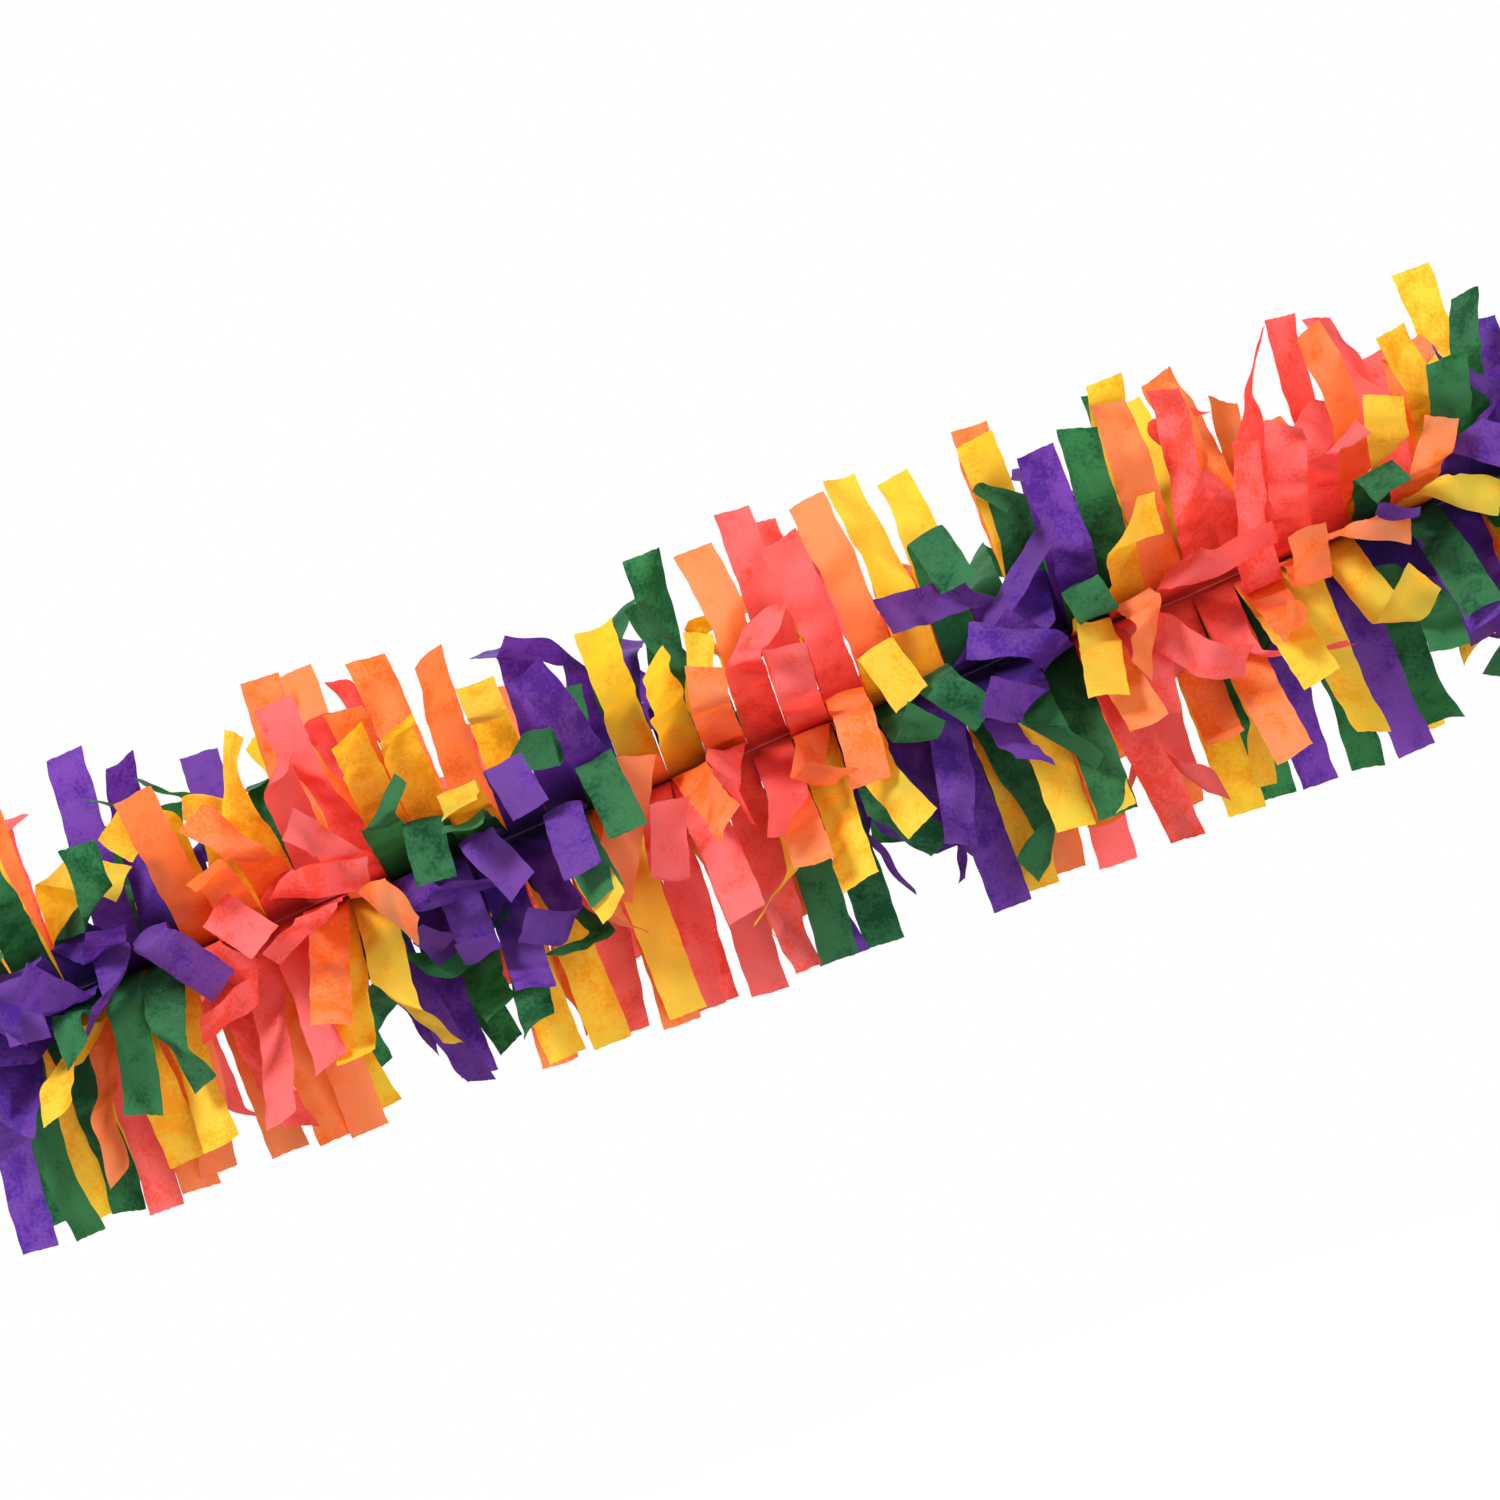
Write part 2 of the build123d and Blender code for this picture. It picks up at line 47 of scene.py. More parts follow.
fringe = {  # the cut and folded tissue, in millimetres
    "garlandLength": 500.0,
    "stripWidth": 140.0,  # of each flat ply, from fringe tip to fringe tip
    "tabPitch": 12.5,  # from one slit to the next
    "slitWidth": 0.7,
    "seamMargin": 1.5,  # from the middle of the seam to the inner end of a slit
    "paperThickness": 0.25,
    "plyGap": 0.3,
    "turnLength": 147.0,  # of seam, for one full turn of the twist
    "faceStart": 32.5,  # where the purple ply first faces the viewer
    "threadDiameter": 0.6,
    "threadClearance": 0.15,
    "foldClearance": 0.6,  # that a tab keeps from the tabs around it
    "neighbourClearance": 0.25,  # beside its first panel, where the slit is
    "seamClearance": 4.0,  # that the folded part of a tab keeps from the seam
    "endAllowance": 4.0,  # that a tab may lean out past the ends of the seam
    "lengthVariation": 2.5,  # by which hand-cut tabs are shorter
    "firstFoldRange": (11.0, 24.0),  # from the seam to the first fold of a tab
    "secondFoldGap": (19.0, 32.0),  # from the first fold to the second
    # Angles in degrees
    "rootSpread": 60.0,  # most that a tab turns at its root, either way
    "rootStep": 7.0,  # least turn between two plies at the root
    "pullLimit": 80.0,  # most that a tab is drawn round to where its colour shows
    "leastSpacing": 7.0,  # between two tabs of one station
    "aimShake": 9.0,  # by which a tab misses the place where its colour shows
    "hourShake": 10.0,  # by which a tab misses the way that it points
    "hourStep": 30.0,  # from one hour of a clock face to the next
    "frontLift": 28.0,  # by which a tab in front stands on the far side of the seam it falls over
    "frontWidth": 32.0,  # above and below level, in which a tab with a mark counts as in front
    "foldLimit": 130.0,
    "slantLimit": 1.3,  # of a fold, as the tangent of its angle to a square fold
    "firstFlopRange": (15.0, 75.0),  # away from straight out, after the first fold
    "secondFlopRange": (20.0, 115.0),
    "flatFlopRange": (60.0, 100.0),  # after the first fold of the plies that keep off the outline
    "uprightRange": (0.0, 40.0),  # after both folds of the other plies, where they stand or hang
    "uprightStart": 42.0,  # above and below level, from where tabs stand and hang
    "flopHeading": 75.0,  # most that a tab flops along the seam instead of round it
    "droopingShare": 0.4,  # of the tabs below the seam flop down, the others up over it
    "curlingShare": 0.7,  # of the second folds bend on in the way of the first
    # Slopes, as parts of the length of a tab
    "cutSlant": 0.06,  # most that the end of a hand-cut tab is out of square
    "frontLean": (0.0, 0.5),  # to the viewer, of a tab in front that points to its hour
    "frontTipLean": (-0.6, 0.3),  # the same, of its tip
    "edgeLean": (-0.3, 0.3),  # to the viewer, of a tab that points to its hour on top or below
    "edgeDrift": (-0.5, 0.5),  # along the seam, of the same tab
    "overLean": (0.4, 1.0),  # to the viewer, of a tip that is folded over
    "overDrift": (-0.7, 0.7),  # along the seam, of the same tip
    # The plies in the order of the stack
    "plies": ("purple", "green", "yellow", "orange", "coral"),
    "flatPlies": ("purple", "green"),  # the dark ones, which seldom make the outline
    # What shows at each tab's place: the first letter of its colour and the hour of a clock
    # face to which the tab points. On top and below, a capital stands out to the edge of the
    # garland and a small letter has its tip folded over. A dot leaves the place to the twist.
    "showsOnTop": """
        . . c11 y11 P12 g11 y1 y1 g1 O12 O12 c11 C11 P11 y12 p1 C12 y11 G12 o12
        y10 C11 C11 O12 Y12 g12 C12 O12 p1 p11 Y12 C12 c11 C1 C12 c1 C11 o11 Y1 p12
    """,
    "showsInFront": """
        p4 p3 p6 c3 o12 p5 p6 p5 c4 g3 p6 p3 g6 y5 p6 g5 g6 o7 p6 o2
        y6 p3 o6 y5 g4 p2 g3 p10 o2 c3 g4 y1 y6 p6 o3 g5 o3 o6 y5 p6
    """,
    "showsBelow": """
        P6 C6 G6 C6 O6 Y6 O6 O6 O6 C6 P6 C6 C6 O6 Y6 C7 Y6 O6 C6 o6
        P6 G6 O6 c6 O6 Y6 O6 C6 C6 p5 Y6 G6 P6 G6 P6 Y6 C6 C6 o6 o6
    """,
    "spacingShake": 0.18,  # of the space between two tabs
    "relaxRounds": 6,
    # Of its first and its second fold, the shares that a tab tries in turn
    "foldShares": (
        *((1.0, 1.0),) * 4,
        (0.8, 1.0),
        (0.6, 1.0),
        (0.35, 1.0),
        (0.15, 0.9),
        (0.0, 0.8),
        (0.0, 0.4),
    ),
    "partSeed": 34,
}


# Unit vector square to the seam, at 0 towards the viewer and at 90 degrees up
def direction(angle):
    return np.array((0.0, -math.cos(angle), math.sin(angle)))


# The way the purple face points at x
def faceAngle(x):
    return 2 * math.pi * (x - fringe["faceStart"]) / fringe["turnLength"]


# How far a ply lies from the middle of the stack
def plyOffset(ply):
    return (len(fringe["plies"]) / 2 - 0.5 - ply) * (fringe["paperThickness"] + fringe["plyGap"])


# A point of the twisted seam, across from its middle line and above its middle ply
def seamPoint(x, across, height):
    face = faceAngle(x)
    return (
        np.array((x, 0.0, 0.0))
        + across * direction(face + math.pi / 2)
        + height * direction(face)
    )


# A vector turned about an axis, so that a tab goes round with growing angles
def turned(vector, axis, angle):
    c, s = math.cos(angle), -math.sin(angle)
    return vector * c + cross(axis, vector) * s + axis * axis.dot(vector) * (1 - c)


def cross(a, b):
    return np.array(
        (a[1] * b[2] - a[2] * b[1], a[2] * b[0] - a[0] * b[2], a[0] * b[1] - a[1] * b[0])
    )


def unit(vector):
    return vector / math.sqrt(vector.dot(vector))


# The slant of the fold that turns a tab's way to a target, and a share of its angle
def foldTowards(along, across, normal, target, share):
    crease = cross(normal, along - target)
    slant = crease.dot(along) * crease.dot(across) / max(crease.dot(across) ** 2, tiny)
    slant = min(max(slant, -fringe["slantLimit"]), fringe["slantLimit"])
    crease = unit(across + slant * along)
    squareAlong = along - crease * crease.dot(along)
    squareTarget = target - crease * crease.dot(target)
    angle = math.atan2(
        crease.dot(cross(squareTarget, squareAlong)), squareAlong.dot(squareTarget)
    )
    limit = math.radians(fringe["foldLimit"])
    return slant, share * min(max(angle, -limit), limit)


# Four lines across one folded tab, from its root to its tip, as rows of two points.
# Also gives for each line the vectors from the middle of the paper to its surface,
# for paper that is two units thick
def foldTab(x, side, ply, pose):
    left, right = (
        seamPoint(x + end * fringe["tabPitch"] / 2, side * fringe["seamMargin"], plyOffset(ply))
        for end in (-1, 1)
    )
    face = faceAngle(x)
    along = direction(face + side * math.pi / 2 + pose["root"])
    across = unit((right - left) - along * along.dot(right - left))
    normal = side * cross(across, along)
    half = (fringe["tabPitch"] - fringe["slitWidth"]) / 2 / across[0]
    origin = (left + right) / 2
    lines = [np.array((left, right))]
    edgeFace = [direction(faceAngle(x + end * fringe["tabPitch"] / 2)) for end in (-1, 1)]
    surfaces = [np.array(edgeFace)]
    for (place, target), share in zip(pose["folds"], pose["shares"]):
        slant, angle = foldTowards(along, across, normal, target, share)
        crease = unit(across + slant * along)
        lines.append(
            np.array([origin + (place + slant * q) * along + q * across for q in (-half, half)])
        )
        pivot = origin + place * along
        before = normal
        along, across, normal = (turned(v, crease, angle) for v in (along, across, normal))
        origin = pivot - place * along
        mitre = unit(before + normal) / math.cos(angle / 2)
        surfaces.append(np.array((mitre, mitre)))
    tip = pose["length"]
    lines.append(
        np.array([origin + (tip + pose["cut"] * q) * along + q * across for q in (-half, half)])
    )
    surfaces.append(np.array((normal, normal)))
    return np.array(lines), np.array(surfaces)


# The ply and side of each tab of a station, going round from the purple face
def tabsInTurn():
    count = len(fringe["plies"])
    return [(ply, 1) for ply in range(count)] + [(ply, -1) for ply in reversed(range(count))]


# The tabs that show at a station, each with its aim, place in turn, pull and mark
def colourPins(station, rng):
    tabs = tabsInTurn()
    step = 2 * math.pi / len(tabs)
    face = faceAngle((station + 0.5) * fringe["tabPitch"])
    pins = []
    for marks, aim, lift in (
        (fringe["showsBelow"], -90, 0),
        (fringe["showsInFront"], 0, fringe["frontLift"]),
        (fringe["showsOnTop"], 90, 0),
    ):
        marks = marks.split()
        mark = marks[station % len(marks)]
        aim -= lift * math.cos(math.radians(fringe["hourStep"] * int(mark[1:] or 0)))
        aim = math.radians(aim + rng.uniform(-fringe["aimShake"], fringe["aimShake"]))
        pulls = []
        for k, (ply, side) in enumerate(tabs):
            if fringe["plies"][ply][0] == mark[0].lower():
                pull = (aim - face - (k + 0.5) * step + math.pi) % (2 * math.pi) - math.pi
                pulls.append((abs(pull), k, pull))
        if pulls and min(pulls)[0] < math.radians(fringe["pullLimit"]):
            pins.append((aim, *min(pulls)[1:], mark))
    while len(pins) > 1:
        crossed = [pair for pair in zip(pins, pins[1:] + pins[:1]) if outOfTurn(*pair, step)]
        if not crossed:
            break
        pins.remove(max(crossed[0], key=lambda pin: abs(pin[2])))
    return pins or [(face + step / 2, 0, 0.0, "")]


# Whether the tabs between two pins would be crowded or would pass each other
def outOfTurn(pin, nextPin, step):
    between = (nextPin[1] - pin[1]) % (2 * len(fringe["plies"]))
    room = (nextPin[0] - pin[0]) % (2 * math.pi)
    wound = pin[2] + room - between * step - nextPin[2]
    crowded = room < between * math.radians(fringe["leastSpacing"])
    return not between or crowded or abs(wound) > step


# The tabs of a station and the way each points, drawn round to where its colour shows
def stationTabs(station, rng):
    tabs = tabsInTurn()
    step = 2 * math.pi / len(tabs)
    pins = colourPins(station, rng)
    result = []
    for (aim, first, pull, mark), (nextAim, last, *_) in zip(pins, pins[1:] + pins[:1]):
        between = (last - first) % len(tabs) or len(tabs)
        room = (nextAim - aim) % (2 * math.pi) or 2 * math.pi
        for place in range(between):
            ply, side = tabs[(first + place) % len(tabs)]
            shake = rng.uniform(-fringe["spacingShake"], fringe["spacingShake"]) if place else 0.0
            drawn = room * (place + shake) / between
            natural = ((first + place) % len(tabs) + 0.5) * step
            plane = math.pi / 2 if side > 0 else 3 * math.pi / 2
            result.append(
                {
                    "station": station,
                    "ply": ply,
                    "side": side,
                    "rank": ply if side > 0 else len(fringe["plies"]) - 1 - ply,
                    "turn": natural + pull + drawn - place * step - plane,
                    "angle": aim + drawn,
                    "mark": "" if place else mark,
                }
            )
    return result


# The way of a tab that flops over from straight out, round the seam and along it
def flopped(angle, way, flopRange, rng):
    flop = math.radians(rng.uniform(*flopRange))
    heading = math.radians(rng.uniform(-fringe["flopHeading"], fringe["flopHeading"]))
    sideways = way * math.cos(heading) * direction(angle + math.pi / 2)
    sideways[0] += math.sin(heading)
    return math.cos(flop) * direction(angle) + math.sin(flop) * sideways


# A way that also leans to the viewer and drifts along the seam
def leaning(way, lean, drift, rng):
    return way + rng.uniform(*lean) * direction(0.0) + np.array((rng.uniform(*drift), 0.0, 0.0))


# The ways of a tab with a mark, after its first fold and after its second
def shownWays(tab, rng):
    shake = rng.uniform(-fringe["hourShake"], fringe["hourShake"])
    hour = math.radians(fringe["hourStep"] * int(tab["mark"][1:]) + shake)
    pointed = math.cos(hour) * direction(math.pi / 2) + np.array((math.sin(hour), 0.0, 0.0))
    still = (0.0, 0.0)
    if abs(math.sin(tab["angle"])) < math.sin(math.radians(fringe["frontWidth"])):
        first = leaning(pointed, fringe["frontLean"], still, rng)
        return first, leaning(pointed, fringe["frontTipLean"], still, rng)
    first = leaning(pointed, fringe["edgeLean"], fringe["edgeDrift"], rng)
    if tab["mark"][0].islower():
        return first, leaning(-pointed, fringe["overLean"], fringe["overDrift"], rng)
    return first, leaning(pointed, fringe["edgeLean"], still, rng)


# The ways of a tab that only falls over, after its first fold and after its second
def floppedWays(tab, rng):
    angle = tab["angle"]
    falls = rng.random() < fringe["droopingShare"] or math.sin(angle) > 0
    way = math.copysign(1, -math.cos(angle)) * (1 if falls else -1)
    firstRange, secondRange = fringe["firstFlopRange"], fringe["secondFlopRange"]
    if fringe["plies"][tab["ply"]] in fringe["flatPlies"]:
        firstRange = fringe["flatFlopRange"]
    elif abs(math.sin(angle)) > math.sin(math.radians(fringe["uprightStart"])):
        firstRange = secondRange = fringe["uprightRange"]
    first = flopped(angle, way, firstRange, rng)
    way *= 1 if rng.random() < fringe["curlingShare"] else -1
    return first, flopped(angle, way, secondRange, rng)


# How a tab folds if nothing is in its way, with only a share of the angle of each fold
def wantedPose(tab, shares):
    rng = tab["rng"]
    spread, step = math.radians(fringe["rootSpread"]), math.radians(fringe["rootStep"])
    lowest = tab["rank"] * step - spread
    highest = spread - (len(fringe["plies"]) - 1 - tab["rank"]) * step
    first, second = (shownWays if tab["mark"] else floppedWays)(tab, rng)
    firstPlace = rng.uniform(*fringe["firstFoldRange"])
    secondPlace = firstPlace + rng.uniform(*fringe["secondFoldGap"])
    longest = fringe["stripWidth"] / 2 - fringe["seamMargin"]
    return {
        "root": min(max(tab["turn"], lowest), highest),
        "folds": [(firstPlace, unit(first)), (secondPlace, unit(second))],
        "shares": shares,
        "length": longest - rng.uniform(0.0, fringe["lengthVariation"]),
        "cut": rng.uniform(-fringe["cutSlant"], fringe["cutSlant"]),
    }


# Triangles of the panels between successive lines across a tab
def panelTriangles(lines):
    near, far = lines[..., :-1, :, :], lines[..., 1:, :, :]
    first = np.stack((near[..., 0, :], near[..., 1, :], far[..., 1, :]), axis=-2)
    second = np.stack((near[..., 0, :], far[..., 1, :], far[..., 0, :]), axis=-2)
    return np.concatenate((first, second), axis=-3)


# The lines across a tab and the edges along it, each as two points
def panelEdges(lines):
    along = np.stack((lines[..., :-1, :, :], lines[..., 1:, :, :]), axis=-2)
    along = along.reshape(*along.shape[:-4], -1, 2, 3)
    return np.concatenate((lines, along), axis=-3)


# Whether any edge passes through any triangle
def anyCrossing(edges, triangles):
    corners = [triangles[:, k] for k in range(3)]
    normal = np.cross(corners[1] - corners[0], corners[2] - corners[0])
    level = (normal * corners[0]).sum(1)
    before, after = (edges[:, k] @ normal.T - level for k in range(2))
    edge, tri = np.nonzero(before * after < 0)
    share = before[edge, tri] / (before[edge, tri] - after[edge, tri])
    point = edges[edge, 0] + share[:, None] * (edges[edge, 1] - edges[edge, 0])
    inside = np.ones(len(edge), bool)
    for start, end in zip(corners, corners[1:] + corners[:1]):
        outward = np.cross(end[tri] - start[tri], point - start[tri])
        inside &= (outward * normal[tri]).sum(1) >= 0
    return bool(inside.any())


# The same tab without the first millimetre, where neighbours meet at the seam
def liftedRoot(lines):
    lines = lines.copy()
    lines[0] += unit(lines[1].mean(0) - lines[0].mean(0))
    return lines


# The triangles or edges of all tabs, from which those near a box can be picked
class NearShapes:

    def __init__(self, tabs, shapes, corners):
        self.points = np.zeros((tabs, shapes, corners, 3))
        self.low, self.high = np.zeros((tabs, shapes, 3)), np.zeros((tabs, shapes, 3))

    def put(self, number, points):
        self.points[number] = points
        self.low[number], self.high[number] = points.min(1), points.max(1)

    # Those of the other tabs that reach into the box from low to high
    def pick(self, number, low, high):
        reached = ((self.low <= high) & (self.high >= low)).all(2)
        reached[number] = False
        return self.points[reached]


# The folded tabs of the whole garland, none of which touches another
class FringeLayout:

    def __init__(self):
        self.stations = round(fringe["garlandLength"] / fringe["tabPitch"])
        self.tabs = []
        seed = fringe["partSeed"]
        for station in range(self.stations):
            self.tabs += stationTabs(station, random.Random(f"{seed}: station {station}"))
        count = len(self.tabs)
        self.triangles = NearShapes(count, 6, 3)  # two to each of three panels
        self.edges = NearShapes(count, 10, 2)  # four lines across and six edges along
        for number, tab in enumerate(self.tabs):
            tab["rng"] = random.Random(f"{seed}: tab {number}")
            self.place(number, wantedPose(tab, (0.0, 0.0)))
        flat = [fringe["plies"].index(colour) for colour in fringe["flatPlies"]]
        shown = [number for number in range(count) if self.tabs[number]["mark"]]
        dark = [number for number in range(count) if self.tabs[number]["ply"] in flat]
        for sweep in range(fringe["relaxRounds"]):
            for number in dict.fromkeys(shown + dark + list(range(count))):
                self.relax(number)

    def shape(self, number, pose):
        tab = self.tabs[number]
        return foldTab((tab["station"] + 0.5) * fringe["tabPitch"], tab["side"], tab["ply"], pose)

    def place(self, number, pose):
        lines = liftedRoot(self.shape(number, pose)[0])
        self.triangles.put(number, panelTriangles(lines).reshape(-1, 3, 3))
        self.edges.put(number, panelEdges(lines))
        self.tabs[number]["pose"] = pose

    # Folds a tab further, in the first of several ways that the others leave room for
    def relax(self, number):
        tab = self.tabs[number]
        for shares in fringe["foldShares"]:
            if sum(shares) <= sum(tab["pose"]["shares"]):
                break
            pose = wantedPose(tab, shares)
            if self.isClear(number, pose):
                self.place(number, pose)
                break

    def isClear(self, number, pose):
        lines, surfaces = self.shape(number, pose)
        lines = liftedRoot(lines)
        low = lines.min((0, 1)) - fringe["foldClearance"]
        high = lines.max((0, 1)) + fringe["foldClearance"]
        allowance = fringe["endAllowance"]
        if low[0] < -allowance or high[0] > fringe["garlandLength"] + allowance:
            return False
        if seamDistance(lines[1:]) < fringe["seamClearance"]:
            return False
        layers = clearanceLayers(lines, surfaces)
        ownTriangles = panelTriangles(layers).reshape(-1, 3, 3)
        ownEdges = panelEdges(layers).reshape(-1, 2, 3)
        triangles = self.triangles.pick(number, low, high)
        edges = self.edges.pick(number, low, high)
        if anyCrossing(ownEdges, triangles) or anyCrossing(edges, ownTriangles):
            return False
        return not anyCrossing(panelEdges(lines[2:]), panelTriangles(lines[:2]))


# Sheets on both sides of a tab, between which no other tab may come
def clearanceLayers(lines, surfaces):
    clearance = fringe["foldClearance"]
    reach = np.full((len(lines), 1, 1), clearance)
    reach[0] = fringe["paperThickness"] / 2
    across = lines[:, 1] - lines[:, 0]
    across /= np.linalg.norm(across, axis=-1, keepdims=True)
    widened = lines.copy()
    beside = np.array((0.0, fringe["neighbourClearance"], clearance, clearance))
    widened += beside[:, None, None] * np.stack((-across, across), axis=1)
    widened[-1] += clearance * unit(lines[-1].mean(0) - lines[-2].mean(0))
    return np.stack((widened + reach * surfaces, widened - reach * surfaces))


# The least distance between the middle line of the seam and the edges of a tab
def seamDistance(lines):
    points = lines[..., 1:]
    start, way = points[:-1], points[1:] - points[:-1]
    start, way = start.reshape(-1, 2), way.reshape(-1, 2)
    place = -(start * way).sum(-1) / np.maximum((way * way).sum(-1), tiny)
    nearest = start + np.clip(place, 0, 1)[:, None] * way
    return np.linalg.norm(nearest, axis=-1).min()


# One output of a material's node, so that shader maths reads as plain sums
class Signal:
    def __init__(self, finish, socket):
        self.finish, self.socket = finish, socket

    def maths(self, operation, first, second):
        return self.finish.node("Math", {"operation": operation}, {0: first, 1: second})

    def __add__(self, other):
        return self.maths("ADD", self, other)

    def __mul__(self, other):
        return self.maths("MULTIPLY", self, other)

    def __sub__(self, other):
        return self.maths("SUBTRACT", self, other)

    def __rsub__(self, other):
        return self.maths("SUBTRACT", other, self)

    __radd__, __rmul__ = __add__, __mul__


# The nodes of a material or world; node() adds one node and gives back one of its outputs
class Finish:
    def __init__(self, owner):
        self.owner = owner
        owner.use_nodes = True
        self.tree = owner.node_tree
        self.tree.nodes.clear()

    def node(self, kind, settings=None, sockets=None, output=0):
        made = self.tree.nodes.new("ShaderNode" + kind)
        for name, value in (settings or {}).items():
            if name == "stops":
                for place, colour in value[1:-1]:
                    made.color_ramp.elements.new(place)
                for element, (place, colour) in zip(made.color_ramp.elements, value):
                    element.position, element.color = place, colour
            else:
                setattr(made, name, value)
        for name, value in (sockets or {}).items():
            if isinstance(value, Signal):
                self.tree.links.new(value.socket, made.inputs[name])
            else:
                made.inputs[name].default_value = value
        return Signal(self, made.outputs[output]) if made.outputs else None

    # Noise through the whole object, its size in metres
    def noise(self, size, detail, kind="FBM"):
        place = self.node("TexCoord", output="Object")
        sockets = {"Vector": place, "Scale": 1 / size, "Detail": detail}
        return self.node("TexNoise", {"noise_type": kind}, sockets)

    # Small bumps, their depth in metres
    def relief(self, height, depth, strength):
        return self.node("Bump", {}, {"Height": height, "Distance": depth, "Strength": strength})

    def done(self, surface, kind="OutputMaterial"):
        self.node(kind, {}, {"Surface": surface})
        return self.owner


# Linear colour of a dye written as a web colour
def dye(code):
    shares = [int(code[k : k + 2], 16) / 255 for k in (1, 3, 5)]
    return (*(s / 12.92 if s <= 0.04045 else ((s + 0.055) / 1.055) ** 2.4 for s in shares), 1.0)


tissue = {  # how each ply looks, sizes in metres
    "dyes": {  # of thin paper, dense paper, the painted shade at the seam, and light that comes through
        "purple": ("#8658B8", "#472284", "#10062A", "#6C2EA4"),
        "green": ("#4A9060", "#10462A", "#030D06", "#2A7838"),
        "yellow": ("#FFEC58", "#F4A220", "#B44E08", "#FFC41C"),
        "orange": ("#FCAA78", "#F4702A", "#A22C06", "#FF7420"),
        "coral": ("#FC8E90", "#E84E3E", "#961A10", "#FF4C3C"),
    },
    "densePlace": 0.6,  # of the density, from thin paper to the painted shade at the seam
    "cloudSize": 0.009,
    "cloudDetail": 3.0,
    "clouding": 3.0,  # how far the clouds, and then the fibres, change the density
    "fibreSize": 0.0011,
    "fibreDetail": 2.0,
    "fibring": 1.6,
    "thinness": 2.3,  # taken off the density, so that most of the paper is thin
    "wrinkleSize": 0.0076,
    "wrinkleDetail": 2.0,
    "wrinkleDepth": 0.00045,
    "wrinkleStrength": 0.6,
    "fibreRelief": 0.25,  # of the height of the wrinkles
    "seeThrough": 0.62,  # of the light comes out on the far side of thin paper
    "roughness": 0.82,
    "gloss": 0.18,
}


def tissueFinish(colour):
    thin, dense, paintedShade, lit = (dye(code) for code in tissue["dyes"][colour])
    finish = Finish(bpy.data.materials.new(colour + "Tissue"))
    clouds = finish.noise(tissue["cloudSize"], tissue["cloudDetail"])
    fibres = finish.noise(tissue["fibreSize"], tissue["fibreDetail"])
    wrinkles = finish.noise(tissue["wrinkleSize"], tissue["wrinkleDetail"], "RIDGED_MULTIFRACTAL")
    tone = finish.node("Attribute", {"attribute_name": "tone"}, output="Fac")
    # Painted shade: this attribute darkens the paper towards the root of each tab, where the plies
    # meet at the seam.
    paintedSeamShade = finish.node("Attribute", {"attribute_name": "paintedSeamShade"}, output="Fac")
    mottles = tissue["clouding"] * clouds + tissue["fibring"] * fibres - tissue["thinness"]
    mottled = finish.node("Clamp", {}, {"Value": mottles + tone})
    # The painted shade takes the colour to the last, near-black stop of the ramp and lets less
    # light through the paper; the mottles vary the real density.
    densityAndShade = tissue["densePlace"] * mottled * (1 - paintedSeamShade) + paintedSeamShade
    stops = ((0.0, thin), (tissue["densePlace"], dense), (1.0, paintedShade))
    colours = finish.node("ValToRGB", {"stops": stops}, {"Fac": densityAndShade})
    through = tissue["seeThrough"] * (1 - densityAndShade)
    height = wrinkles + tissue["fibreRelief"] * fibres
    relief = finish.relief(height, tissue["wrinkleDepth"], tissue["wrinkleStrength"])
    paper = finish.node(
        "BsdfPrincipled",
        {},
        {
            "Base Color": colours,
            "Roughness": tissue["roughness"],
            "Specular IOR Level": tissue["gloss"],
            "Normal": relief,
        },
    )
    glow = finish.node("BsdfTranslucent", {}, {"Color": lit, "Normal": relief})
    return finish.done(finish.node("MixShader", {}, {0: through, 1: paper, 2: glow}))


paperMesh = {  # how finely a tab is drawn and how it crumples, in millimetres
    "rowsPerTab": 56,
    "columnsPerTab": 10,
    "creaseRange": (1.2, 8.0),  # rounding of a fold, from a crease to a curl
    "creaseRoom": 0.45,  # of the shorter panel, the most that a rounded fold takes
    "crumpleWaves": 7,
    "crumpleHeight": 0.5,
    "crumpleSizes": (8.0, 28.0),
    "cupping": 0.7,  # most that a tab bows from edge to edge
    "cuppingSizes": (12.0, 22.0),
    "cuppingLevel": 0.4,  # of the bow, that lies in the plane of the tab
    "edgeWander": 0.09,
    "wanderSizes": (1.3, 3.1, 6.7),
    "slowPhase": (0.0, 6.0),  # radians, where a bow or a wander starts
    "raggedness": 0.16,  # of the cut end
    "flatRoot": 21.0,  # from the seam to where the crumples are full height
    "swayRange": (-3.0, 3.0),  # of the tip, out of the tab's plane
    "leanRange": (-2.6, 2.6),  # of the tip, in the tab's plane
    "curlRange": (-4.0, 4.0),  # of the last stretch of the tab
    "curlLength": 24.0,
    "toneRange": (0.0, 0.75),  # of the dye, from tab to tab
    "paintedShadeAtSeam": 1.0,  # how dark the painted shade makes the paper at the seam, where the plies meet
    # how far from the seam the painted shade reaches on each ply, farther on the dark plies
    "paintedShadeReach": {"purple": 24.0, "green": 24.0, "yellow": 13.0, "orange": 13.0, "coral": 13.0},
    "weldDistance": 0.02,  # under which points at the seam become one
}


